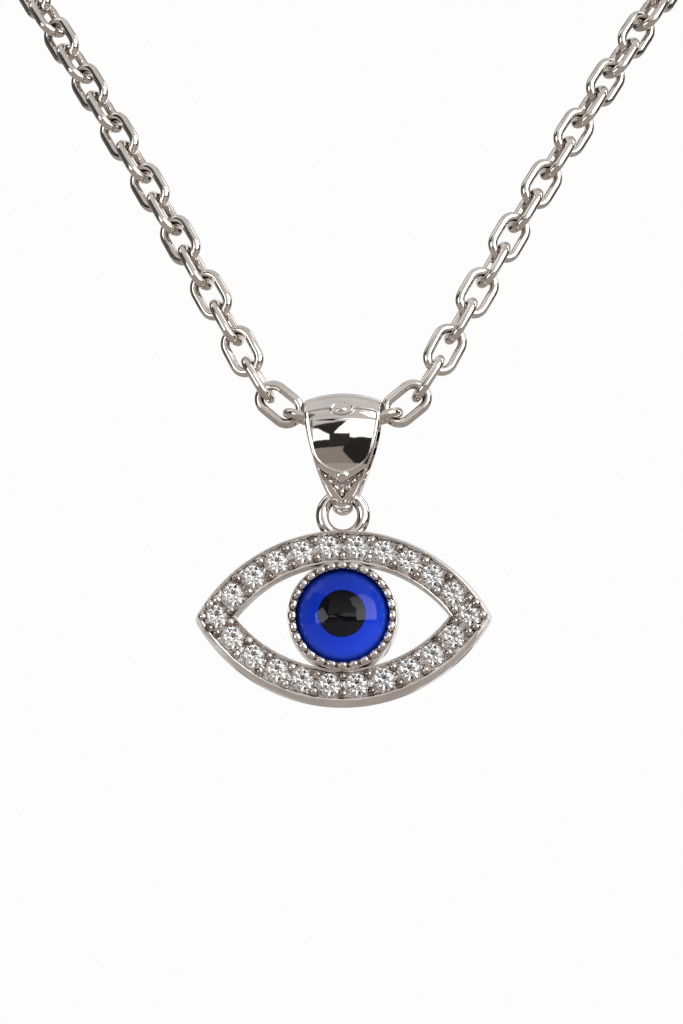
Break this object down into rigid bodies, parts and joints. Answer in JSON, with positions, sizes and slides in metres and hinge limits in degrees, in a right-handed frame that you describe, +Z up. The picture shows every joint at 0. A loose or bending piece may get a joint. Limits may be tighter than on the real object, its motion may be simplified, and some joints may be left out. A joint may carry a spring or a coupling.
{
  "type": "evil eye pendant on a chain",
  "caption": "Almond-shaped evil eye pendant with a blue glass eye in a frame of round stones, hanging by a teardrop bail on a looped cable chain.",
  "frame": {"origin": "centre of the clasp at the nape, where the chain is held", "axes": "+Z up, -Y out of the front of the eye, +X to the right seen from the front"},
  "size_m": [0.1068, 0.1087, 0.1215],
  "materials": {
    "chain_metal": "polished silver with a warm grey rhodium plating",
    "pendant_metal": "mirror-polished silver with a warm grey rhodium plating, darker in the recesses",
    "blue_glass": "opaque royal blue glass, glossy",
    "black_glass": "opaque black glass, glossy",
    "stone": "clear cut stone, brilliant"
  },
  "bodies": {
    "root": {"chain": "chain_metal", "clasp": "chain_metal"},
    "bail": {"bail": "pendant_metal"},
    "eye": {"eye_setting": "pendant_metal", "glass_eye": "blue_glass", "pupil": "black_glass", "stone_01": "stone", "stone_02": "stone", "stone_03": "stone", "stone_04": "stone", "stone_05": "stone", "stone_06": "stone", "stone_07": "stone", "stone_08": "stone", "stone_09": "stone", "stone_10": "stone", "stone_11": "stone", "stone_12": "stone", "stone_13": "stone", "stone_14": "stone", "stone_15": "stone", "stone_16": "stone", "stone_17": "stone", "stone_18": "stone", "stone_19": "stone", "stone_20": "stone", "stone_21": "stone", "stone_22": "stone"}
  },
  "joints": [
    {"name": "bail_swing", "type": "hinge", "parent": "root", "child": "bail", "pos_m": [0, -0.104, -0.099], "axis": [1, 0, 0], "range_deg": [-60, 60]},
    {"name": "eye_swing", "type": "hinge", "parent": "bail", "child": "eye", "pos_m": [0, -0.104, -0.10436], "axis": [1, 0, 0], "range_deg": [-35, 35]}
  ]
}
